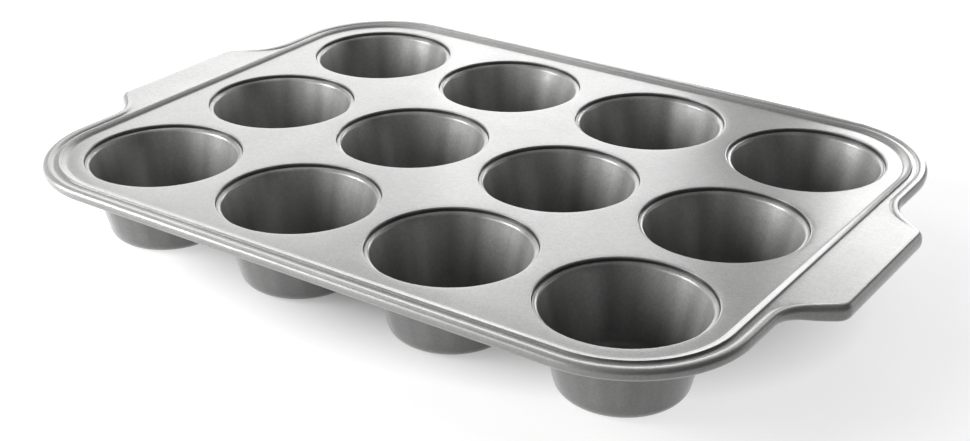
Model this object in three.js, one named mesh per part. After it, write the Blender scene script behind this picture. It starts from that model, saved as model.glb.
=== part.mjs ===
// A mini cake pan in coated steel: a pressed top sheet with a rolled edge and two flange handles,
// the wire that the edge is rolled round, and drawn cups that hang in collars of the sheet.
// Millimetres, +Z up. The origin is on the surface that the pan stands on, under the middle of the pan.
// +X runs along the rows of cups to one handle, and -Y is the front long side.
import * as THREE from 'three';
import { mergeVertices } from 'three/addons/utils/BufferGeometryUtils.js';

const degree = Math.PI / 180;

// Layout of the cups
const cupColumns = 4;
const cupRows = 3;
const mouthRadius = 37; // inside of a collar, where the deck ends
const mouthWeb = 10; // deck left between two mouths

// Cups
const cupDepth = 39.2; // deck to the outside of the bottom
const cupGauge = 0.8;
const cupTaper = 13 * degree; // lean of the wall from upright
const cupCornerRadius = 6.5; // outside, between wall and bottom
const cupFlangeWidth = 1.3; // flange beyond the outside of the wall
const cupLipBend = 0.8; // easing where the flange turns down into the wall

// Collars of the sheet that hold the cups
const sheetGauge = 0.8;
const seatDepth = 1.7; // deck down to the top of a cup's flange
const seamClearance = 0.3; // between a cup and its collar
const mouthBend = 0.3; // inside radius where the deck turns down into a collar

// Ridge and groove round the deck
const wellMargin = 7.6; // corner mouth to the foot of the ridge
const wellCornerRadius = 44; // foot of the ridge, in plan
const ridgeHeight = 1.5; // at the outer edge of its top
const ridgeShoulder = 1.1; // height where the steep inner slope meets the gently rising top
const ridgeSlopeWidth = 0.9;
const ridgeTopWidth = 2.4;
const ridgeDropWidth = 0.7;
const grooveHeight = 0.5; // groove floor and handle tops above the deck
const grooveWidth = 2.45;

// Rolled edge and its wire
const rollRadius = 2.6; // outside of the roll, and half its height along the rim
const handleRollHeight = 7.5; // height of the roll round a handle
const rollRise = 0.8; // crest of the roll above the groove floor, along the rim
const rollEnd = -160 * degree; // free edge of the roll, counted from straight outward
const wireClearance = 0.3;

// Handles, measured on the centre line of the roll
const handleReach = 19.4; // beyond the short side's edge
const handleLength = 77; // outer edge, between its sharp corners
const handleFlare = 51 * degree; // turn from the outer edge to an end
const handleCornerRadius = 5.5;
const handleRootRadius = 22.5;

// Fineness of the round shapes
const circleSteps = 24;
const cupCornerSteps = 3;
const mouthBendSteps = 2;
const wellCornerSteps = 8;
const handleArcSteps = 4;
const rollSteps = 8;
const wireSides = 8;

// Coated steel and bare wire
const coatingColor = 0x9b9c9d;
const coatingRoughness = 0.5;
const coatingMetalness = 0.3;
const wireColor = 0xb4b4b2;
const wireRoughness = 0.35;
const wireMetalness = 1;

// Sizes that follow
const deckHeight = cupDepth;
const cupPitch = 2 * mouthRadius + mouthWeb;
const flangeUnderside = deckHeight - seatDepth - cupGauge;
const flangeRadius = mouthRadius - seamClearance;
const cupWallRadius = flangeRadius - cupFlangeWidth; // outside of the wall, under the flange
const footTop = flangeUnderside - seamClearance;
const footRadius = cupWallRadius + seamClearance;
const wellHalfLength = (cupColumns - 1) / 2 * cupPitch + mouthRadius + wellMargin;
const wellHalfWidth = (cupRows - 1) / 2 * cupPitch + mouthRadius + wellMargin;
const cornerCentreX = wellHalfLength - wellCornerRadius;
const cornerCentreY = wellHalfWidth - wellCornerRadius;
const ridgeInnerEdge = ridgeSlopeWidth;
const ridgeOuterEdge = ridgeInnerEdge + ridgeTopWidth;
const grooveInnerEdge = ridgeOuterEdge + ridgeDropWidth;
const grooveTop = deckHeight + grooveHeight;
const rimRollStart = rollStart(rollRadius, rollRise);
const rollOffset = grooveInnerEdge + grooveWidth - rollRadius * Math.cos(rimRollStart);
const edgeCentreX = wellHalfLength + rollOffset;
const wireRadius = rollRadius - sheetGauge - wireClearance;

// Angle where a skin of the roll leaves the groove floor, for a crest that stands rise above the floor
function rollStart(halfHeight, rise) {
  return Math.PI - Math.asin(1 - rise / halfHeight);
}

// Triangles between two rings of matching points, facing up where the second ring lies outside the first
function band(first, second) {
  return first.flatMap((start, index) => {
    const next = (index + 1) % first.length;
    return [start, second[index], second[next], start, second[next], first[next]];
  });
}

// Triangles of all the bands along a row of rings
function bands(rings) {
  return rings.slice(1).flatMap((ring, index) => band(rings[index], ring));
}

// Triangles of a flat face with holes, facing up or down
function flatFace(outline, holes, facesUp) {
  const corners = [outline, ...holes].flat();
  const faces = THREE.ShapeUtils.triangulateShape(outline, holes);
  return faces.flatMap(([a, b, c]) => {
    const sideB = corners[b].clone().sub(corners[a]);
    const sideC = corners[c].clone().sub(corners[a]);
    const turnsUp = sideB.cross(sideC).z > 0;
    const order = turnsUp === facesUp ? [a, b, c] : [a, c, b];
    return order.map((corner) => corners[corner]);
  });
}

// A closed solid from the triangles of its skin
function solidFrom(triangles) {
  const solid = mergeVertices(new THREE.BufferGeometry().setFromPoints(triangles));
  solid.computeVertexNormals();
  return solid;
}

// Profile points along an arc, both ends included
function arc(centreX, centreY, radius, from, to, steps) {
  return Array.from({ length: steps + 1 }, (_, step) => {
    const angle = from + (to - from) * step / steps;
    return new THREE.Vector2(centreX + radius * Math.cos(angle), centreY + radius * Math.sin(angle));
  });
}

// Centres of the cups, front row first
function cupCentres() {
  const centres = [];
  for (let row = 0; row < cupRows; row += 1) {
    for (let column = 0; column < cupColumns; column += 1) {
      const x = (column - (cupColumns - 1) / 2) * cupPitch;
      const y = (row - (cupRows - 1) / 2) * cupPitch;
      centres.push({ name: `cup_row${row + 1}_col${column + 1}`, x, y });
    }
  }
  return centres;
}

// A cup is one turned shell: bottom, corner and wall outside, then the flange and back down inside
function cupGeometry() {
  const tangent = cupCornerRadius * Math.tan((Math.PI / 2 - cupTaper) / 2);
  const cornerX = cupWallRadius - flangeUnderside * Math.tan(cupTaper) - tangent;
  const innerCorner = cupCornerRadius - cupGauge;
  const flangeTop = flangeUnderside + cupGauge;
  const wallAcross = cupGauge / Math.cos(cupTaper);
  const innerWall = (z) => cupWallRadius + (z - flangeUnderside) * Math.tan(cupTaper) - wallAcross;
  const profile = [
    new THREE.Vector2(0, 0),
    ...arc(cornerX, cupCornerRadius, cupCornerRadius, -Math.PI / 2, -cupTaper, cupCornerSteps),
    new THREE.Vector2(cupWallRadius, flangeUnderside),
    new THREE.Vector2(flangeRadius, flangeUnderside),
    new THREE.Vector2(flangeRadius, flangeTop),
    new THREE.Vector2(innerWall(flangeTop) + cupLipBend, flangeTop),
    new THREE.Vector2(innerWall(flangeTop - cupLipBend), flangeTop - cupLipBend),
    ...arc(cornerX, cupCornerRadius, innerCorner, -cupTaper, -Math.PI / 2, cupCornerSteps),
    new THREE.Vector2(0, cupGauge),
  ];
  return new THREE.LatheGeometry(profile, circleSteps).rotateX(Math.PI / 2);
}

// Section of a collar: from the underside of the deck, down and under the foot, and up to the deck
function collarProfile() {
  const outerRadius = mouthRadius + sheetGauge;
  const bendRadius = mouthBend + sheetGauge;
  const bendCentre = deckHeight - bendRadius;
  const footBottom = footTop - sheetGauge;
  return [
    new THREE.Vector2(outerRadius + mouthBend, deckHeight - sheetGauge),
    new THREE.Vector2(outerRadius, bendCentre),
    new THREE.Vector2(outerRadius, footBottom),
    new THREE.Vector2(footRadius, footBottom),
    new THREE.Vector2(footRadius, footTop),
    new THREE.Vector2(mouthRadius, footTop),
    ...arc(mouthRadius + bendRadius, bendCentre, bendRadius, Math.PI, Math.PI / 2, mouthBendSteps),
  ];
}

// Ring of a collar at one point of its section
function collarRing(centre, point) {
  return Array.from({ length: circleSteps }, (_, step) => {
    const angle = 2 * Math.PI * step / circleSteps;
    const x = centre.x + point.x * Math.cos(angle);
    const y = centre.y + point.x * Math.sin(angle);
    return new THREE.Vector3(x, y, point.y);
  });
}

// Ring that follows the foot of the ridge, a distance outside it
function wellRing(offset, height) {
  const radius = wellCornerRadius + offset;
  const corners = [[1, 1], [-1, 1], [-1, -1], [1, -1]];
  return corners.flatMap(([signX, signY], corner) => {
    const centreX = signX * cornerCentreX;
    const centreY = signY * cornerCentreY;
    const from = corner * Math.PI / 2;
    const points = arc(centreX, centreY, radius, from, from + Math.PI / 2, wellCornerSteps);
    return points.map((point) => new THREE.Vector3(point.x, point.y, height));
  });
}

// Section of the sheet from the foot of the ridge to the groove, as distance outside the foot and height
function ridgeProfile() {
  return [
    new THREE.Vector2(0, deckHeight),
    new THREE.Vector2(ridgeInnerEdge, deckHeight + ridgeShoulder),
    new THREE.Vector2(ridgeOuterEdge, deckHeight + ridgeHeight),
    new THREE.Vector2(grooveInnerEdge, grooveTop),
  ];
}

// The same section a gauge below, running level into the deck and the groove floor
function belowProfile(profile, gauge) {
  const below = (direction) => new THREE.Vector2(direction.y, -direction.x);
  const level = new THREE.Vector2(1, 0);
  return profile.map((point, index) => {
    const before = profile[index - 1];
    const after = profile[index + 1];
    const arriving = before ? point.clone().sub(before).normalize() : level;
    const leaving = after ? after.clone().sub(point).normalize() : level;
    const mitre = below(arriving).add(below(leaving));
    return point.clone().addScaledVector(mitre, gauge / (1 + arriving.dot(leaving)));
  });
}

// One quarter of the roll's centre line, from the middle of a handle to the middle of a long side.
// Each station has its place in plan, its outward direction, and the roll's rise and half height there.
function quarterEdge() {
  const stations = [];
  const handleX = edgeCentreX + handleReach;
  const halfTurn = Math.tan(handleFlare / 2);
  const cornerY = handleLength / 2 - handleCornerRadius * halfTurn;
  const rootY = handleLength / 2 + handleReach / Math.tan(handleFlare) + handleRootRadius * halfTurn;
  const addArc = (centreX, centreY, radius, from, to, steps) => {
    for (let step = 0; step <= steps; step += 1) {
      const angle = from + (to - from) * step / steps;
      const x = centreX + radius * Math.cos(angle);
      const y = centreY + radius * Math.sin(angle);
      stations.push({ x, y, angle });
    }
  };
  addArc(handleX - handleCornerRadius, cornerY, handleCornerRadius, 0, handleFlare, handleArcSteps);
  addArc(edgeCentreX + handleRootRadius, rootY, -handleRootRadius, handleFlare, 0, handleArcSteps);
  addArc(cornerCentreX, cornerCentreY, wellCornerRadius + rollOffset, 0, Math.PI / 2, wellCornerSteps);
  for (const station of stations) {
    const reached = Math.max(0, station.x - edgeCentreX) / handleReach;
    const rim = (1 - reached) ** 2;
    station.rise = rollRise * rim;
    station.halfHeight = THREE.MathUtils.lerp(handleRollHeight / 2, rollRadius, rim);
  }
  return stations;
}

// The whole centre line, counter-clockwise: the quarter, its mirror image, and both turned half round
function wholeEdge() {
  const mirrored = (station) => ({ ...station, x: -station.x, angle: Math.PI - station.angle });
  const turned = (station) => {
    return { ...station, x: -station.x, y: -station.y, angle: station.angle + Math.PI };
  };
  const quarter = quarterEdge();
  const half = [...quarter, ...quarter.toReversed().map(mirrored)];
  return [...half, ...half.map(turned)];
}

// Ring on the roll or its wire: sectionAt gives the half width, half height and angle at each station
function edgeRing(stations, sectionAt) {
  return stations.map((station) => {
    const { halfWidth, halfHeight, turn } = sectionAt(station);
    const outward = halfWidth * Math.cos(turn);
    const centreHeight = grooveTop + station.rise - station.halfHeight;
    const x = station.x + outward * Math.cos(station.angle);
    const y = station.y + outward * Math.sin(station.angle);
    return new THREE.Vector3(x, y, centreHeight + halfHeight * Math.sin(turn));
  });
}

// Rings of one skin of the roll, from the groove floor round to the free edge, depth below the outside
function rollRings(stations, depth) {
  return Array.from({ length: rollSteps + 1 }, (_, step) => {
    const share = step / rollSteps;
    return edgeRing(stations, (station) => {
      const halfHeight = station.halfHeight - depth;
      const turn = THREE.MathUtils.lerp(rollStart(halfHeight, station.rise), rollEnd, share);
      return { halfWidth: rollRadius - depth, halfHeight, turn };
    });
  });
}

// The top sheet is one skin: deck, collars, ridge, groove, handles and roll, and the same underneath
function topSheetGeometry() {
  const stations = wholeEdge();
  const collarRings = (centre) => collarProfile().map((point) => collarRing(centre, point));
  const collars = cupCentres().map(collarRings);
  const ridge = ridgeProfile();
  const ridgeTop = ridge.map((point) => wellRing(point.x, point.y));
  const ridgeBelow = belowProfile(ridge, sheetGauge).map((point) => wellRing(point.x, point.y));
  const rollOutside = rollRings(stations, 0);
  const rollInside = rollRings(stations, sheetGauge);
  return solidFrom([
    ...flatFace(ridgeTop[0], collars.map((rings) => rings.at(-1)), true),
    ...flatFace(ridgeBelow[0], collars.map((rings) => rings[0]), false),
    ...collars.flatMap((rings) => bands(rings)),
    ...bands(ridgeTop),
    ...bands(ridgeBelow.toReversed()),
    ...flatFace(rollOutside[0], [ridgeTop.at(-1)], true),
    ...flatFace(rollInside[0], [ridgeBelow.at(-1)], false),
    ...bands([...rollOutside, ...rollInside.toReversed()]),
  ]);
}

// The wire is a closed loop along the middle of the roll
function rimWireGeometry() {
  const stations = wholeEdge();
  const rings = Array.from({ length: wireSides + 1 }, (_, side) => {
    const turn = Math.PI / 2 - 2 * Math.PI * (side % wireSides) / wireSides;
    return edgeRing(stations, () => ({ halfWidth: wireRadius, halfHeight: wireRadius, turn }));
  });
  return solidFrom(bands(rings));
}

function coatedSteel() {
  return new THREE.MeshStandardMaterial({
    color: coatingColor,
    roughness: coatingRoughness,
    metalness: coatingMetalness,
  });
}

function bareWire() {
  return new THREE.MeshStandardMaterial({
    color: wireColor,
    roughness: wireRoughness,
    metalness: wireMetalness,
  });
}

function namedMesh(name, geometry, material) {
  const mesh = new THREE.Mesh(geometry, material);
  mesh.name = name;
  return mesh;
}

const pan = new THREE.Group();
pan.add(namedMesh('top_sheet', topSheetGeometry(), coatedSteel()));
pan.add(namedMesh('rim_wire', rimWireGeometry(), bareWire()));

const cups = new THREE.Group();
for (const centre of cupCentres()) {
  const cup = namedMesh(centre.name, cupGeometry(), coatedSteel());
  cup.position.set(centre.x, centre.y, 0);
  cups.add(cup);
}
pan.add(cups);

export default pan;
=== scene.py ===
"""Looks of the mini cake pan: smooth skins of pressed steel over its solids, a satin coat and studio light.

Shapes are worked out in millimetres and become metres when a mesh is made.
"""
import math

import bpy
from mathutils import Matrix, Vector
from mathutils.geometry import delaunay_2d_cdt


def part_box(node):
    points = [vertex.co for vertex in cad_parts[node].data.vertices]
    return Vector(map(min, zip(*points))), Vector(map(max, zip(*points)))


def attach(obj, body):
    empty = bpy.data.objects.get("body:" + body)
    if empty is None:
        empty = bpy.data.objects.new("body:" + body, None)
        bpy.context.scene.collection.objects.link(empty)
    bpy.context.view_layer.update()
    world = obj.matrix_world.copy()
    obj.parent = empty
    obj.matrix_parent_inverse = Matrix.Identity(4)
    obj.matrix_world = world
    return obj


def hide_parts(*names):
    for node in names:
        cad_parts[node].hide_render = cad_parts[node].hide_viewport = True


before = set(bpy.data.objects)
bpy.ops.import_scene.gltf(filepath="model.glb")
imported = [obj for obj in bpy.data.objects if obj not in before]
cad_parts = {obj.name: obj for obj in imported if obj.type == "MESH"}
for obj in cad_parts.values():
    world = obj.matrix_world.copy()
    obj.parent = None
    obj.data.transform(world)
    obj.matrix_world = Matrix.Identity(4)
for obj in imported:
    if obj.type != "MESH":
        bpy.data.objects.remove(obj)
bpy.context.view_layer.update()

# Units
MM = 0.001

# Sheet, collars and cups
SHEET_GAUGE = 0.8
SEAT_DEPTH = 1.7  # deck down to the top of a cup's flange
SEAM_CLEARANCE = 0.3
SEAM_GAP = 0.1  # what shows of it at a mouth, where the coat has closed the rest
MOUTH_BEND = 0.6  # radius of the edge where the deck turns down into a collar
MOUTH_UNDER_BEND = 0.15  # the same, on the deck's underside
MOUTH_EASE_WIDTH = 2.0  # the deck dips softly towards each mouth
MOUTH_EASE_DROP = 0.03
FOOT_BEND = 0.5
CUP_GAUGE = 0.8
CUP_TAPER = math.radians(13)
CUP_CORNER_RADIUS = 6.5
CUP_FLANGE_WIDTH = 1.3
CUP_LIP_BEND = 1.6
CUP_ROOT_BEND = 0.5
CUP_EDGE_BEND = 0.2

# The deck swells a little between its mouths
CROWN_HEIGHT = 0.08
CROWN_REACH = 6.0  # how fast the swelling rises away from a mouth's edge
CROWN_BORDER = 10.0  # it fades out over this width inside the ridge

# Ridge and groove, as distance outside the foot of the ridge and height above the deck
WELL_MARGIN = 7.6  # from a mouth to the foot of the ridge
WELL_CORNER_RADIUS = 44.0
RIDGE_HEIGHT = 1.5
RIDGE_SHOULDER = 0.95  # height where the steep inner slope eases into the ridge's gentle top
RIDGE_SLOPE_WIDTH = 1.5
RIDGE_TOP_WIDTH = 2.0
RIDGE_DROP_WIDTH = 0.25
GROOVE_HEIGHT = 0.5
DECK_BORDER = 2.0  # flat strip inside the foot of the ridge

# How far each bend of the ridge and groove eats into the straight stretches beside it
FOOT_CUT = 0.6
RIDGE_INNER_CUT = 0.8
RIDGE_OUTER_CUT = 0.25
GROOVE_CUT = 0.3
RIDGE_INNER_LOSS = 0.5  # what the ridge's two cuts lose for each millimetre below the top face
RIDGE_OUTER_LOSS = 0.125

# Rolled edge, its wire and the handles
ROLL_RADIUS = 2.6
ROLL_RISE = 0.5  # rise of the roll above the groove along the rim, before it leans
ROLL_LEAN = 0.1  # slope of the roll's flattened top, down towards the groove
ROLL_INNER_SQUARENESS = 4.0  # exponents of the roll's section; 2 is an ellipse
ROLL_OUTER_SQUARENESS = 2.3
ROLL_END = math.radians(-160)
HANDLE_ROLL_HEIGHT = 7.5
WIRE_CLEARANCE = 0.3
HANDLE_REACH = 19.4
HANDLE_LENGTH = 77.0
HANDLE_FLARE = math.radians(51)
HANDLE_CORNER_RADIUS = 5.5
HANDLE_ROOT_RADIUS = 22.5

# Fineness
CIRCLE_STEPS = 96
BEND_STEPS = 6
CUP_CORNER_STEPS = 10
CORNER_STEPS = 28
HANDLE_STEPS = 14
FLARE_STEPS = 3
ROLL_STEPS = 26
WIRE_SIDES = 16
STRAIGHT_STEP = 12.0  # length of a step along straight edges
DECK_STEP = 4.0  # spacing of the deck's inner points
DECK_CLEARANCE = 1.0  # least distance from those points to the ring round a mouth
INSIDE_EDGES = 1  # kind of triangulation that keeps to the inside of its outer edges
WELD_DISTANCE = 1e-6
SHARP_ANGLE = math.radians(40)  # edges that turn by more than this stay sharp

# Sizes that the frame gives
cup_nodes = sorted(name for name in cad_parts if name.startswith("cup_"))
first_low, first_high = (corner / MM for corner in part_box(cup_nodes[0]))
sheet_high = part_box("top_sheet")[1] / MM
flange_radius = (first_high.x - first_low.x) / 2
flange_top = first_high.z
deck_height = flange_top + SEAT_DEPTH

# Sizes that follow
mouth_radius = flange_radius + SEAM_CLEARANCE
flange_underside = flange_top - CUP_GAUGE
cup_wall_radius = flange_radius - CUP_FLANGE_WIDTH
foot_top = flange_underside - SEAM_CLEARANCE
foot_radius = cup_wall_radius + SEAM_CLEARANCE
groove_top = deck_height + GROOVE_HEIGHT
groove_inner_edge = RIDGE_SLOPE_WIDTH + RIDGE_TOP_WIDTH + RIDGE_DROP_WIDTH
handle_centre_x = sheet_high.x - ROLL_RADIUS
edge_centre_x = handle_centre_x - HANDLE_REACH
edge_centre_y = sheet_high.y - ROLL_RADIUS
cup_reach = [max(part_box(name)[1][axis] for name in cup_nodes) / MM for axis in (0, 1)]
well_half_length, well_half_width = (reach + SEAM_CLEARANCE + WELL_MARGIN for reach in cup_reach)
corner_centre_x = well_half_length - WELL_CORNER_RADIUS
corner_centre_y = well_half_width - WELL_CORNER_RADIUS
wire_radius = ROLL_RADIUS - SHEET_GAUGE - WIRE_CLEARANCE
mouth_ease_radius = mouth_radius + MOUTH_BEND + MOUTH_EASE_WIDTH

# Camera, fitted to the mouths in the photograph
CAMERA_PLACE = Vector((390.6, -561.4, 337.7))
CAMERA_TARGET = Vector((40.7, -56.2, 39.2))
CAMERA_LENS = 58.67
CAMERA_SENSOR = 36.0
CAMERA_SHIFT_X = -0.0019
CAMERA_CLIP = (0.01, 50.0)  # nearest and farthest that it sees, in metres

# The coat: tones, roughness, waves of each noise in a metre, and depths of its relief in metres
COAT_DARK = (0.270, 0.268, 0.264)
COAT_LIGHT = (0.370, 0.367, 0.362)
COAT_ROUGHNESS = (0.46, 0.54)
COAT_METALLIC = 0.3
GLAZE_WEIGHT = 1.0  # of the clear layer on top
GLAZE_ROUGHNESS = 0.2
GLAZE_IOR = 1.5
NOISE_SPAN = (0.3, 0.7)  # the part of a noise's range that is used
CLOUD_SCALE = 18.0
CLOUD_DETAIL = 3.0
CLOUD_TONE = (0.1, 0.6)
SMEAR_SCALE = 45.0
SMEAR_DETAIL = 4.0
PEEL_SCALE = 130.0
PEEL_DEPTH = 0.000012
SPECKLE_SCALE = 520.0
SPECKLE_TONE = 0.18
GRAIN_SCALE = 1500.0
GRAIN_SPAN = (0.25, 0.75)
GRAIN_TONE = 0.5
GRAIN_DEPTH = 0.000028
PAINTED_SHADE_LEAST = 0.08  # brightness of the coat where its painted shade is full
# Painted shade on the whole outside of a cup
CUP_OUTSIDE_PAINTED_SHADE = 0.38
CUP_LOW_PAINTED_SHADE = 0.5  # painted shade at the bottom inside a cup, fading out towards its lip
CREASE_PAINTED_SHADE = 0.5  # painted shade where a face of the ridge or groove stands upright
CREST_TONE = 0.1
CREST_ROUGHNESS = -0.04

# Upright draw marks in the cups
DRAW_SCALE = 2.2  # waves to a radian round the cup's axis
DRAW_STRETCH = 1.7  # radians that a metre of height counts as
DRAW_DETAIL = 1.5
DRAW_SWING = 0.5  # strength of a mark, either way
DRAW_START = 3.0  # heights where the marks begin and are full
DRAW_FULL = 10.0
DRAW_TONE = 0.8
DRAW_ROUGHNESS = 0.05
DRAW_DEPTH = 0.000005

# The wire, from dull to bright
WIRE_DULL = (0.40, 0.39, 0.375)
WIRE_BRIGHT = (0.58, 0.575, 0.565)
WIRE_ROUGHNESS = (0.42, 0.26)
POLISH_SCALE = 60.0
POLISH_DETAIL = 4.0
POLISH_SPAN = (0.35, 0.65)
SCRATCH_SCALE = 2500.0
SCRATCH_DEPTH = 0.000006

# Room and floor
ROOM_TONE = 0.1
FLOOR_TONE = 0.45
FLOOR_ROUGHNESS = 0.9
FLOOR_HALF = 4.0  # in metres
FLOOR_DROP = 0.2  # keeps the floor's face clear of the cups' bottoms
FLOOR_GLOW = 0.72
PAINTED_SHADOW_REACH = 0.5  # where the glow starts and is full, as a share of the pan's half length and half width; inside the start the floor has no glow, a painted shadow round the pan
GLOW_FULL = 0.95

# Softboxes in metres and degrees, each as name, azimuth, elevation, width, height and brightness
LAMP_DISTANCE = 1.0
LAMPS = [
    ("back_left", 139, 14.5, 0.42, 0.56, 2.5),
    ("back_middle", 119, 17.5, 0.28, 0.64, 3.2),
    ("back_right", 92, 15.5, 0.32, 0.62, 5.4),
    ("left_low", 166, 14, 0.36, 0.45, 0.8),
    ("front_left", -142, 20, 0.50, 0.50, 14.0),
    ("front_left_near", -112, 20, 0.50, 0.50, 2.3),
    ("left_high", 165, 52, 0.60, 0.40, 2.4),
    ("right_back", 50, 12, 0.60, 0.40, 1.4),
]


def make_camera():
    data = bpy.data.cameras.new("camera")
    data.lens = CAMERA_LENS
    data.sensor_width = CAMERA_SENSOR
    data.shift_x = CAMERA_SHIFT_X
    data.clip_start, data.clip_end = CAMERA_CLIP
    camera = bpy.data.objects.new("camera", data)
    camera.location = CAMERA_PLACE * MM
    camera.rotation_mode = "QUATERNION"
    camera.rotation_quaternion = (CAMERA_TARGET - CAMERA_PLACE).to_track_quat("-Z", "Y")
    bpy.context.scene.collection.objects.link(camera)
    bpy.context.scene.camera = camera


class Skin:
    """Points and faces of one mesh, gathered ring by ring."""

    def __init__(self):
        self.points = []
        self.shades = []
        self.faces = []

    def ring(self, points, shade=0.0):
        """Add points; a shade of 1 marks metal where the painted shade is darkest."""
        start = len(self.points)
        self.points.extend(points)
        self.shades.extend([shade] * (len(self.points) - start))
        return list(range(start, len(self.points)))

    def rings(self, rows, shades=None):
        """Add rows of points, each with a painted shade of its own, or none."""
        rows = list(rows)
        shades = shades or [0.0] * len(rows)
        return [self.ring(row, shade) for row, shade in zip(rows, shades)]

    def band(self, first, second):
        """Faces between two closed rings, facing up where the second lies outside the first."""
        count = len(first)
        for index in range(count):
            following = (index + 1) % count
            self.faces.append((first[index], second[index], second[following], first[following]))

    def loft(self, rings):
        for first, second in zip(rings, rings[1:]):
            self.band(first, second)

    def fan(self, ring, tip, faces_up):
        """Triangles between a closed ring and one point."""
        count = len(ring)
        for index in range(count):
            following = ring[(index + 1) % count]
            face = (tip, ring[index], following)
            self.faces.append(face if faces_up else face[::-1])

    def make(self, name, material):
        """The piece, with its mesh in metres."""
        mesh = bpy.data.meshes.new(name)
        mesh.from_pydata([Vector(point) * MM for point in self.points], [], self.faces)
        # The shade values are painted shade, carried to the material as a point attribute
        mesh.attributes.new("shade", "FLOAT", "POINT").data.foreach_set("value", self.shades)
        mesh.validate()
        mesh.shade_smooth()
        mesh.set_sharp_from_angle(angle=SHARP_ANGLE)
        mesh.materials.append(material)
        piece = bpy.data.objects.new(name, mesh)
        bpy.context.scene.collection.objects.link(piece)
        return piece


def mixed(start, end, share):
    """The value or point that lies a share of the way from start to end."""
    return start + (end - start) * share


def arc(centre_x, centre_y, radius, start, end, steps):
    """Points along an arc, both ends included."""
    angles = [mixed(start, end, step / steps) for step in range(steps + 1)]
    return [
        Vector((centre_x + radius * math.cos(angle), centre_y + radius * math.sin(angle)))
        for angle in angles
    ]


def bend(before, corner, after, cut):
    """A corner rounded off by a parabola that starts and ends a cut away from it."""
    start = corner + (before - corner).normalized() * cut
    end = corner + (after - corner).normalized() * cut
    shares = [step / BEND_STEPS for step in range(BEND_STEPS + 1)]
    return [mixed(mixed(start, corner, share), mixed(corner, end, share), share) for share in shares]


def rounded(corners, cuts):
    """An open line with its inner corners rounded; a cut of 0 leaves a corner as it is."""
    line = [corners[0]]
    for index, cut in enumerate(cuts, start=1):
        if cut:
            line.extend(bend(corners[index - 1], corners[index], corners[index + 1], cut))
        else:
            line.append(corners[index])
    line.append(corners[-1])
    return line


def turned(profile, centre):
    """Rings of a profile of radius and height, turned round an upright axis."""
    angles = [2 * math.pi * step / CIRCLE_STEPS for step in range(CIRCLE_STEPS)]
    return [
        [
            Vector((centre.x + point.x * math.cos(angle), centre.y + point.x * math.sin(angle), point.y))
            for angle in angles
        ]
        for point in profile
    ]


def cup_centre(node):
    low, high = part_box(node)
    middle = (low + high) / 2 / MM
    return Vector((middle.x, middle.y))


def cup_profile():
    """Outside of a cup from the middle of its bottom, over the flange, and back down inside."""
    tangent = CUP_CORNER_RADIUS * math.tan((math.pi / 2 - CUP_TAPER) / 2)
    corner_x = cup_wall_radius - flange_underside * math.tan(CUP_TAPER) - tangent
    wall_across = CUP_GAUGE / math.cos(CUP_TAPER)
    outer_corner = CUP_CORNER_RADIUS
    inner_corner = CUP_CORNER_RADIUS - CUP_GAUGE
    outside = arc(corner_x, outer_corner, outer_corner, -math.pi / 2, -CUP_TAPER, CUP_CORNER_STEPS)
    inside = arc(corner_x, outer_corner, inner_corner, -CUP_TAPER, -math.pi / 2, CUP_CORNER_STEPS)
    inner_lip = cup_wall_radius + CUP_GAUGE * math.tan(CUP_TAPER) - wall_across
    edge_radius = mouth_radius - SEAM_GAP
    flange = rounded(
        [
            outside[-1],
            Vector((cup_wall_radius, flange_underside)),
            Vector((edge_radius, flange_underside)),
            Vector((edge_radius, flange_top)),
            Vector((inner_lip, flange_top)),
            inside[0],
        ],
        [CUP_ROOT_BEND, CUP_EDGE_BEND, CUP_EDGE_BEND, CUP_LIP_BEND],
    )
    bottom_ring = Vector((corner_x / 2, 0))
    floor_ring = Vector((corner_x / 2, CUP_GAUGE))
    return [bottom_ring, *outside, *flange[1:-1], *inside, floor_ring]


def make_cup(node, material):
    """A cup's mesh stands round its own axis, and the piece is placed at the node's middle."""
    skin = Skin()
    profile = cup_profile()
    edge = max(range(len(profile)), key=lambda index: profile[index].x)
    # Painted shade: the whole outside is darkened, and the inside grows darker towards the bottom
    inner_shades = [CUP_LOW_PAINTED_SHADE * (1 - point.y / flange_top) ** 2 for point in profile[edge:]]
    shades = [CUP_OUTSIDE_PAINTED_SHADE] * edge + inner_shades
    rings = skin.rings(turned(profile, Vector((0, 0))), shades)
    skin.loft(rings)
    bottom_tip = skin.ring([Vector((0, 0, 0))], CUP_OUTSIDE_PAINTED_SHADE)[0]
    floor_tip = skin.ring([Vector((0, 0, CUP_GAUGE))], shades[-1])[0]
    skin.fan(rings[0], bottom_tip, faces_up=False)
    skin.fan(rings[-1], floor_tip, faces_up=True)
    cup = skin.make(node.replace("cup_", "cup_skin_"), material)
    centre = cup_centre(node)
    cup.location = Vector((centre.x, centre.y, 0)) * MM
    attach(cup, "root")
    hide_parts(node)


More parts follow.
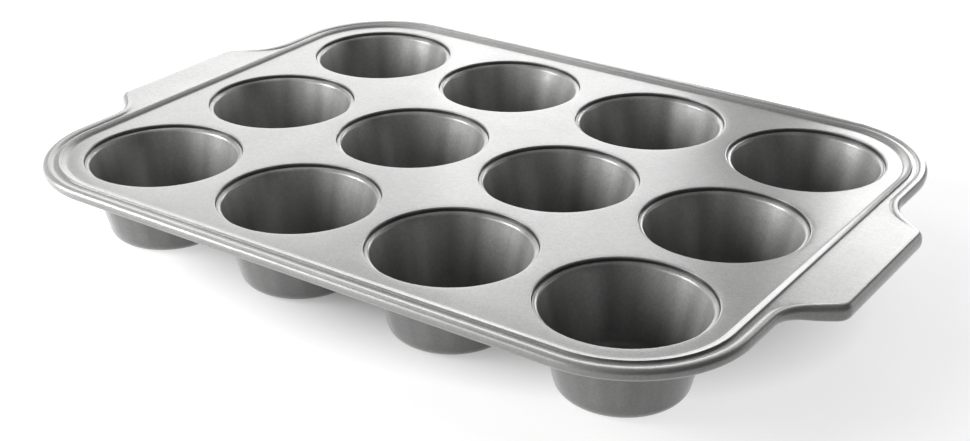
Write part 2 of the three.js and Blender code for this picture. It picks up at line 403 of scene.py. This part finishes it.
def make_stations():
    """Counter-clockwise points along the roll's centre line, as dictionaries.

    Each holds its place in plan, the outward angle there, the roll's rise, half height and lean, and the
    point of the ridge's foot that it belongs to with the outward angle at that foot.
    """
    quarter = []

    def add(x, y, angle, foot, foot_angle):
        quarter.append({"x": x, "y": y, "angle": angle, "foot": foot, "foot_angle": foot_angle})

    def add_on_side(points, angles):
        for point, angle in zip(points, angles):
            add(point.x, point.y, angle, Vector((well_half_length, point.y)), 0.0)

    tangent_share = math.tan(HANDLE_FLARE / 2)  # from a bend's corner to its arc's end, to a radius of 1
    corner_y = HANDLE_LENGTH / 2 - HANDLE_CORNER_RADIUS * tangent_share
    flare_foot_y = HANDLE_LENGTH / 2 + HANDLE_REACH / math.tan(HANDLE_FLARE)
    root_y = flare_foot_y + HANDLE_ROOT_RADIUS * tangent_share
    turns = [HANDLE_FLARE * step / HANDLE_STEPS for step in range(HANDLE_STEPS + 1)]
    corner_x = handle_centre_x - HANDLE_CORNER_RADIUS
    root_x = edge_centre_x + HANDLE_ROOT_RADIUS

    # A straight stretch leaves out each end that an arc beside it brings
    edge_ys = straight_steps(0, corner_y)[:-1]
    add_on_side([Vector((handle_centre_x, y)) for y in edge_ys], [0.0] * len(edge_ys))
    add_on_side(arc(corner_x, corner_y, HANDLE_CORNER_RADIUS, 0, HANDLE_FLARE, HANDLE_STEPS), turns)
    flare_start = Vector((quarter[-1]["x"], quarter[-1]["y"]))
    root_arc = arc(root_x, root_y, -HANDLE_ROOT_RADIUS, HANDLE_FLARE, 0, HANDLE_STEPS)
    flare = [mixed(flare_start, root_arc[0], step / FLARE_STEPS) for step in range(1, FLARE_STEPS)]
    add_on_side(flare, [HANDLE_FLARE] * len(flare))
    add_on_side(root_arc, turns[::-1])
    side_ys = straight_steps(root_y, corner_centre_y)[1:-1]
    add_on_side([Vector((edge_centre_x, y)) for y in side_ys], [0.0] * len(side_ys))
    corner_radius = edge_centre_y - corner_centre_y
    for step in range(CORNER_STEPS + 1):
        angle = math.pi / 2 * step / CORNER_STEPS
        outward = Vector((math.cos(angle), math.sin(angle)))
        centre = Vector((corner_centre_x, corner_centre_y))
        place = centre + outward * corner_radius
        add(place.x, place.y, angle, centre + outward * WELL_CORNER_RADIUS, angle)
    for x in straight_steps(corner_centre_x, 0)[1:]:
        add(x, edge_centre_y, math.pi / 2, Vector((x, well_half_width)), math.pi / 2)

    for station in quarter:
        reached = max(0.0, station["x"] - edge_centre_x) / HANDLE_REACH
        rim = (1 - reached) ** 2
        station["rise"] = ROLL_RISE * rim
        station["half_height"] = mixed(HANDLE_ROLL_HEIGHT / 2, ROLL_RADIUS, rim)
        station["lean"] = ROLL_LEAN * rim
    return whole_loop(quarter)


def straight_steps(start, end):
    """Even steps along a straight stretch, both ends included."""
    count = max(1, round(abs(end - start) / STRAIGHT_STEP))
    return [mixed(start, end, step / count) for step in range(count + 1)]


def whole_loop(quarter):
    """The quarter, its mirror image, and both turned half round, without the repeated ends."""

    def mirrored(station):
        foot = station["foot"]
        changes = {
            "x": -station["x"],
            "angle": math.pi - station["angle"],
            "foot": Vector((-foot.x, foot.y)),
            "foot_angle": math.pi - station["foot_angle"],
        }
        return {**station, **changes}

    def half_round(station):
        changes = {
            "x": -station["x"],
            "y": -station["y"],
            "angle": station["angle"] + math.pi,
            "foot": -station["foot"],
            "foot_angle": station["foot_angle"] + math.pi,
        }
        return {**station, **changes}

    half = [*quarter, *[mirrored(station) for station in quarter[-2::-1]]]
    return [*half[:-1], *[half_round(station) for station in half[:-1]]]


def on_foot(station, outward, height):
    """A point straight outside the ridge's foot at a station."""
    foot = station["foot"]
    x = foot.x + outward * math.cos(station["foot_angle"])
    y = foot.y + outward * math.sin(station["foot_angle"])
    return Vector((x, y, height))


def on_roll(station, outward, upward):
    """A point straight outside and above the roll's centre line at a station."""
    x = station["x"] + outward * math.cos(station["angle"])
    y = station["y"] + outward * math.sin(station["angle"])
    centre_z = groove_top + station["rise"] - station["half_height"]
    return Vector((x, y, centre_z + upward))


def power(value, exponent):
    """A power that keeps the sign of its value."""
    return math.copysign(abs(value) ** exponent, value)


def roll_line(station, depth):
    """The roll's section at a station, from the groove floor to the free edge, depth below its outside."""
    half_width = ROLL_RADIUS - depth
    half_height = station["half_height"] - depth
    inner_exponent = 2 / ROLL_INNER_SQUARENESS
    outer_exponent = 2 / ROLL_OUTER_SQUARENESS
    start = math.pi - math.asin((1 - station["rise"] / half_height) ** (1 / inner_exponent))
    inner_reach = half_width * power(math.cos(start), inner_exponent)
    line = []
    for step in range(ROLL_STEPS + 1):
        turn = mixed(start, ROLL_END, step / ROLL_STEPS)
        exponent = inner_exponent if turn > math.pi / 2 else outer_exponent
        outward = half_width * power(math.cos(turn), exponent)
        leaning = station["lean"] * (outward - inner_reach)
        upward = half_height * power(math.sin(turn), exponent) + leaning
        line.append(on_roll(station, outward, upward))
    return line


def ridge_profile():
    """Corners of the ridge as distance outside its foot and height, from foot to groove."""
    return [
        Vector((0, deck_height)),
        Vector((RIDGE_SLOPE_WIDTH, deck_height + RIDGE_SHOULDER)),
        Vector((RIDGE_SLOPE_WIDTH + RIDGE_TOP_WIDTH, deck_height + RIDGE_HEIGHT)),
        Vector((groove_inner_edge, groove_top)),
    ]


def lowered(profile, depth):
    """A profile's corners moved down square to it, running level at both ends."""
    level = Vector((1, 0))
    below = []
    for index, point in enumerate(profile):
        arriving = (point - profile[index - 1]).normalized() if index else level
        last = index + 1 == len(profile)
        leaving = level if last else (profile[index + 1] - point).normalized()
        mitre = Vector((arriving.y, -arriving.x)) + Vector((leaving.y, -leaving.x))
        below.append(point + mitre * (depth / (1 + arriving.dot(leaving))))
    return below


def edge_line(station, depth):
    """Skin of the sheet at a station, from the deck over the ridge and groove round the roll."""
    corners = [on_foot(station, -DECK_BORDER, deck_height - depth)]
    for point in lowered(ridge_profile(), depth):
        corners.append(on_foot(station, point.x, point.y))
    roll = roll_line(station, depth)
    inner_cut = RIDGE_INNER_CUT - RIDGE_INNER_LOSS * depth
    outer_cut = RIDGE_OUTER_CUT - RIDGE_OUTER_LOSS * depth
    cuts = [FOOT_CUT, inner_cut, outer_cut, GROOVE_CUT, GROOVE_CUT]
    return [*rounded([*corners, roll[0], roll[1]], cuts), *roll[2:]]


def collar_profile():
    """Skin of a collar, from the deck's underside down, under its foot, and up to the eased deck."""
    bend_x = mouth_radius + MOUTH_BEND
    bend_z = deck_height - MOUTH_EASE_DROP - MOUTH_BEND
    outer_radius = mouth_radius + SHEET_GAUGE
    foot_bottom = foot_top - SHEET_GAUGE
    ease_shares = [step / BEND_STEPS for step in range(BEND_STEPS + 1)]
    ease = [
        Vector((
            bend_x + MOUTH_EASE_WIDTH * share,
            deck_height - MOUTH_EASE_DROP * (1 + math.cos(math.pi * share)) / 2,
        ))
        for share in ease_shares
    ]
    under_reach = outer_radius + MOUTH_UNDER_BEND
    below = [point - Vector((0, SHEET_GAUGE)) for point in reversed(ease) if point.x > under_reach]
    foot = rounded(
        [
            below[-1],
            Vector((outer_radius, below[-1].y)),
            Vector((outer_radius, foot_bottom)),
            Vector((foot_radius, foot_bottom)),
            Vector((foot_radius, foot_top)),
            Vector((mouth_radius, foot_top)),
            Vector((mouth_radius, bend_z)),
        ],
        [MOUTH_UNDER_BEND, FOOT_BEND + SHEET_GAUGE / 2, 0, 0, FOOT_BEND],
    )
    mouth_bend = arc(bend_x, bend_z, MOUTH_BEND, math.pi, math.pi / 2, BEND_STEPS)
    return [*below, *foot[1:-1], *mouth_bend, *ease[1:]]


def collar_painted_shade(point):
    """Painted shade of a collar's skin, dark on the face that stands over the seam, in the step down to the
    cup.
    """
    over_seam = point.x < mouth_radius + MOUTH_BEND / 2 and point.y > foot_top
    drop = (deck_height - MOUTH_EASE_DROP - point.y) / MOUTH_BEND
    return min(1.0, drop) ** 2 if over_seam else 0.0


def crease_painted_shades(line):
    """Painted shade along the sheet's edge, dark on the steep faces of the ridge and the groove."""
    shades = [0.0] * len(line)
    for index in range(1, len(line) - ROLL_STEPS):
        along = line[index + 1] - line[index - 1]
        shades[index] = CREASE_PAINTED_SHADE * abs(along.z) / along.length
    return shades


def inside_ridge(point):
    """How far a point of the deck lies inside the foot of the ridge."""
    over_x = max(0.0, abs(point.x) - corner_centre_x)
    over_y = max(0.0, abs(point.y) - corner_centre_y)
    return WELL_CORNER_RADIUS - math.hypot(over_x, over_y)


def deck_points(centres):
    """A lattice of points on the deck, clear of its mouths and its border."""
    points = []
    row_step = DECK_STEP * math.sqrt(3) / 2
    rows = int(well_half_width / row_step)
    columns = int(well_half_length / DECK_STEP)
    least_radius = mouth_ease_radius + DECK_CLEARANCE
    for row in range(-rows, rows + 1):
        for column in range(-columns, columns + 1):
            place = Vector(((column + row % 2 / 2) * DECK_STEP, row * row_step))
            clear = all((place - centre).length > least_radius for centre in centres)
            if clear and inside_ridge(place) > DECK_BORDER + DECK_STEP / 2:
                points.append(place)
    return points


def fill_deck(skin, border, mouths, centres, height, faces_up):
    """Triangles of the flat deck between its border ring and the rings round its mouths."""
    fixed = [*border, *[index for ring in mouths for index in ring]]
    indices = fixed + skin.ring([Vector((p.x, p.y, height)) for p in deck_points(centres)])
    flat = [skin.points[index].xy for index in indices]
    edges = []
    start = 0
    for ring in [border, *mouths]:
        count = len(ring)
        edges.extend((start + step, start + (step + 1) % count) for step in range(count))
        start += count
    _, _, triangles, origins, _, _ = delaunay_2d_cdt(flat, edges, [], INSIDE_EDGES, WELD_DISTANCE)
    openings = [set(ring) for ring in mouths]
    for triangle in triangles:
        face = [indices[origins[corner][0]] for corner in triangle]
        in_mouth = any(opening.issuperset(face) for opening in openings)
        if not in_mouth:
            skin.faces.append(face if faces_up else face[::-1])


def crown(point, centres):
    """How far the deck swells above its mouths' level at a point."""
    swell = CROWN_HEIGHT
    for centre in centres:
        gap = max(0.0, (point.xy - centre).length - mouth_radius)
        swell *= 1 - math.exp(-gap / CROWN_REACH)
    share = min(1.0, max(0.0, inside_ridge(point) / CROWN_BORDER))
    return swell * share * share * (3 - 2 * share)


def make_top_sheet(stations, material):
    skin = Skin()
    centres = [cup_centre(node) for node in cup_nodes]
    profile = collar_profile()
    # Painted shade on the step down to each cup's flange
    shades = [collar_painted_shade(point) for point in profile]
    collars = [skin.rings(turned(profile, centre), shades) for centre in centres]
    top_lines = [edge_line(station, 0.0) for station in stations]
    under_lines = [edge_line(station, SHEET_GAUGE) for station in stations]
    # The edge's rings carry painted shade in the creases of the ridge and the groove
    top_rings = skin.rings(zip(*top_lines), crease_painted_shades(top_lines[0]))
    under_rings = skin.rings(zip(*under_lines))
    for rings in collars:
        skin.loft(rings)
    skin.loft([*top_rings, *under_rings[::-1]])
    fill_deck(skin, top_rings[0], [rings[-1] for rings in collars], centres, deck_height, True)
    underside = deck_height - SHEET_GAUGE
    fill_deck(skin, under_rings[0], [rings[0] for rings in collars], centres, underside, False)
    skin.points = [point + Vector((0, 0, crown(point, centres))) for point in skin.points]
    sheet = skin.make("top_sheet_skin", material)
    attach(sheet, "root")
    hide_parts("top_sheet")


def make_wire(stations, material):
    skin = Skin()
    rows = []
    for side in range(WIRE_SIDES):
        turn = math.pi / 2 - 2 * math.pi * side / WIRE_SIDES
        outward = wire_radius * math.cos(turn)
        upward = wire_radius * math.sin(turn)
        rows.append([on_roll(station, outward, upward) for station in stations])
    rings = skin.rings(rows)
    skin.loft([*rings, rings[0]])
    wire = skin.make("rim_wire_drawn", material)
    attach(wire, "root")
    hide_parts("rim_wire")


class Finish:
    """A material, with short ways to add the nodes that the finishes here share."""

    def __init__(self, name):
        self.material = bpy.data.materials.new(name)
        self.material.use_nodes = True
        self.tree = self.material.node_tree
        self.shader = self.tree.nodes["Principled BSDF"]

    def feed(self, socket, value):
        if isinstance(value, bpy.types.NodeSocket):
            self.tree.links.new(value, socket)
        else:
            socket.default_value = value

    def add(self, kind, inputs, **settings):
        node = self.tree.nodes.new(kind)
        for name, value in settings.items():
            setattr(node, name, value)
        for name, value in inputs.items():
            self.feed(node.inputs[name], value)
        return node

    def place(self):
        """Place on the piece, in metres from its own origin."""
        return self.add("ShaderNodeTexCoord", {}).outputs["Object"]

    def height(self, place):
        return self.add("ShaderNodeSeparateXYZ", {"Vector": place}).outputs["Z"]

    def noise(self, place, per_metre, detail=2.0):
        inputs = {"Vector": place, "Scale": per_metre, "Detail": detail}
        return self.add("ShaderNodeTexNoise", inputs).outputs["Fac"]

    def vector(self, operation, *values):
        node = self.add("ShaderNodeVectorMath", dict(enumerate(values)), operation=operation)
        return node.outputs["Vector"]

    def maths(self, operation, first, second):
        return self.add("ShaderNodeMath", {0: first, 1: second}, operation=operation).outputs[0]

    def ranged(self, value, from_low, from_high, to_low, to_high):
        inputs = {
            "Value": value,
            "From Min": from_low,
            "From Max": from_high,
            "To Min": to_low,
            "To Max": to_high,
        }
        return self.add("ShaderNodeMapRange", inputs).outputs["Result"]

    def ramp(self, value, low_colour, high_colour):
        node = self.add("ShaderNodeValToRGB", {"Fac": value})
        first, last = node.color_ramp.elements
        first.color = (*low_colour, 1)
        last.color = (*high_colour, 1)
        return node.outputs["Color"]

    def bump(self, height, depth, under=None):
        inputs = {"Height": height, "Distance": depth}
        if under:
            inputs["Normal"] = under
        return self.add("ShaderNodeBump", inputs).outputs["Normal"]

    def dress(self, **inputs):
        """Values or nodes for the shader, named as its sockets are, with _ for a space."""
        for name, value in inputs.items():
            self.feed(self.shader.inputs[name.replace("_", " ")], value)


def coat_tone(finish, place):
    """Cloudy, speckled and grainy tone of the coat, about 0 to 1."""
    cloud = finish.ranged(finish.noise(place, CLOUD_SCALE, CLOUD_DETAIL), *NOISE_SPAN, *CLOUD_TONE)
    grain = finish.ranged(finish.noise(place, GRAIN_SCALE), *GRAIN_SPAN, -GRAIN_TONE, GRAIN_TONE)
    speckle = finish.ranged(finish.noise(place, SPECKLE_SCALE), *NOISE_SPAN, -SPECKLE_TONE, SPECKLE_TONE)
    return finish.maths("ADD", finish.maths("ADD", cloud, grain), speckle)


def coat_colour(finish, place, lift):
    """The coat's colour, lifted or dimmed by a share, and darker where the skin carries painted shade."""
    shade = finish.add("ShaderNodeAttribute", {}, attribute_name="shade").outputs["Fac"]
    # Painted shade: the skin's shade value dims the coat's colour, down to its least brightness at full
    # shade
    share = finish.ranged(shade, 0.0, 1.0, 1.0, PAINTED_SHADE_LEAST)
    inputs = {
        "Vector": finish.ramp(coat_tone(finish, place), COAT_DARK, COAT_LIGHT),
        "Scale": finish.maths("MULTIPLY", share, finish.maths("ADD", lift, 1.0)),
    }
    return finish.add("ShaderNodeVectorMath", inputs, operation="SCALE").outputs["Vector"]


def coat_relief(finish, place):
    """Normal of the coat: a long soft orange peel with a fine grain on it."""
    peel = finish.bump(finish.noise(place, PEEL_SCALE), PEEL_DEPTH)
    return finish.bump(finish.noise(place, GRAIN_SCALE), GRAIN_DEPTH, peel)


def lay_coat(finish, place, lift, roughening, relief):
    """Dress a finish as the coat, where lift changes its brightness and roughening its roughness."""
    smear = finish.ranged(finish.noise(place, SMEAR_SCALE, SMEAR_DETAIL), *NOISE_SPAN, *COAT_ROUGHNESS)
    finish.dress(
        Base_Color=coat_colour(finish, place, lift),
        Metallic=COAT_METALLIC,
        Coat_Weight=GLAZE_WEIGHT,
        Coat_Roughness=GLAZE_ROUGHNESS,
        Coat_IOR=GLAZE_IOR,
        Roughness=finish.maths("ADD", smear, roughening),
        Normal=relief,
        Coat_Normal=relief,
    )


def deck_coat():
    """Coat of the sheet, rubbed a little brighter and smoother along its crests."""
    finish = Finish("coated_steel_deck")
    place = finish.place()
    ridge_top = deck_height + RIDGE_HEIGHT
    crest = finish.ranged(finish.height(place), groove_top * MM, ridge_top * MM, 0.0, 1.0)
    lift = finish.maths("MULTIPLY", crest, CREST_TONE)
    roughening = finish.maths("MULTIPLY", crest, CREST_ROUGHNESS)
    lay_coat(finish, place, lift, roughening, coat_relief(finish, place))
    return finish.material


def cup_coat():
    """Coat of a cup, with upright draw marks in its wall."""
    finish = Finish("coated_steel_cups")
    place = finish.place()
    info = finish.add("ShaderNodeObjectInfo", {}).outputs["Location"]
    moved = finish.vector("ADD", place, info)
    round_axis = finish.vector("NORMALIZE", finish.vector("MULTIPLY", place, (1, 1, 0)))
    along_wall = finish.vector("MULTIPLY", place, (0, 0, DRAW_STRETCH))
    drawn = finish.vector("ADD", finish.vector("ADD", round_axis, along_wall), info)
    on_wall = finish.ranged(finish.height(place), DRAW_START * MM, DRAW_FULL * MM, 0.0, 1.0)
    streaks = finish.noise(drawn, DRAW_SCALE, DRAW_DETAIL)
    marks = finish.ranged(streaks, *NOISE_SPAN, -DRAW_SWING, DRAW_SWING)
    marks = finish.maths("MULTIPLY", marks, on_wall)
    lift = finish.maths("MULTIPLY", marks, DRAW_TONE)
    roughening = finish.maths("MULTIPLY", marks, DRAW_ROUGHNESS)
    relief = finish.bump(marks, DRAW_DEPTH, coat_relief(finish, moved))
    lay_coat(finish, moved, lift, roughening, relief)
    return finish.material


def bare_wire():
    """Drawn steel wire, dulled here and there."""
    finish = Finish("bare_wire")
    place = finish.place()
    polish = finish.ranged(finish.noise(place, POLISH_SCALE, POLISH_DETAIL), *POLISH_SPAN, 0.0, 1.0)
    finish.dress(
        Base_Color=finish.ramp(polish, WIRE_DULL, WIRE_BRIGHT),
        Metallic=1.0,
        Roughness=finish.ranged(polish, 0.0, 1.0, *WIRE_ROUGHNESS),
        Normal=finish.bump(finish.noise(place, SCRATCH_SCALE), SCRATCH_DEPTH),
    )
    return finish.material


def pale_floor():
    """Floor near white to the camera and metal, clear from below; the pan's shadow is real, deepened by a
    painted one.
    """
    finish = Finish("pale_floor")
    path = finish.add("ShaderNodeLightPath", {}).outputs
    seen = finish.maths("MAXIMUM", path["Is Camera Ray"], path["Is Glossy Ray"])
    seen = finish.maths("MAXIMUM", seen, path["Is Transmission Ray"])
    shares = finish.vector("DIVIDE", finish.place(), (sheet_high.x * MM, sheet_high.y * MM, 1))
    reach = finish.add("ShaderNodeVectorMath", {0: shares}, operation="LENGTH").outputs["Value"]
    # Painted shadow: no glow near the pan, so the floor there and its reflection in the metal stay dark
    clear = finish.ranged(reach, PAINTED_SHADOW_REACH, GLOW_FULL, 0.0, FLOOR_GLOW)
    behind = finish.add("ShaderNodeNewGeometry", {}).outputs["Backfacing"]
    finish.dress(
        Base_Color=(FLOOR_TONE, FLOOR_TONE, FLOOR_TONE, 1),
        Roughness=FLOOR_ROUGHNESS,
        Emission_Color=(1, 1, 1, 1),
        Emission_Strength=finish.maths("MULTIPLY", seen, clear),
        Alpha=finish.maths("SUBTRACT", 1.0, behind),
    )
    return finish.material


def make_floor():
    mesh = bpy.data.meshes.new("floor")
    corners = [(x * FLOOR_HALF, y * FLOOR_HALF, 0) for x, y in ((-1, -1), (1, -1), (1, 1), (-1, 1))]
    mesh.from_pydata(corners, [], [(0, 1, 2, 3)])
    mesh.materials.append(pale_floor())
    floor = bpy.data.objects.new("floor", mesh)
    floor.location.z = -FLOOR_DROP * MM
    bpy.context.scene.collection.objects.link(floor)


def softbox(name, azimuth, elevation, width, height, brightness):
    """An area lamp that faces the pan, with energy in proportion to its area and brightness."""
    level = math.cos(math.radians(elevation))
    outward = Vector((
        level * math.cos(math.radians(azimuth)),
        level * math.sin(math.radians(azimuth)),
        math.sin(math.radians(elevation)),
    ))
    data = bpy.data.lights.new(name, "AREA")
    data.shape = "RECTANGLE"
    data.size = width
    data.size_y = height
    data.energy = brightness * math.pi * width * height
    lamp = bpy.data.objects.new(name, data)
    lamp.location = outward * LAMP_DISTANCE + Vector((0, 0, deck_height * MM))
    lamp.rotation_mode = "QUATERNION"
    lamp.rotation_quaternion = (-outward).to_track_quat("-Z", "Y")
    bpy.context.scene.collection.objects.link(lamp)


def make_studio():
    scene = bpy.context.scene
    scene.view_settings.view_transform = "Standard"
    world = bpy.data.worlds.new("studio")
    world.use_nodes = True
    background = world.node_tree.nodes["Background"]
    background.inputs["Color"].default_value = (ROOM_TONE, ROOM_TONE, ROOM_TONE, 1)
    scene.world = world
    for lamp in LAMPS:
        softbox(*lamp)


make_camera()
make_studio()
make_floor()
edge_stations = make_stations()
make_top_sheet(edge_stations, deck_coat())
make_wire(edge_stations, bare_wire())
cup_finish = cup_coat()
for cup_node in cup_nodes:
    make_cup(cup_node, cup_finish)
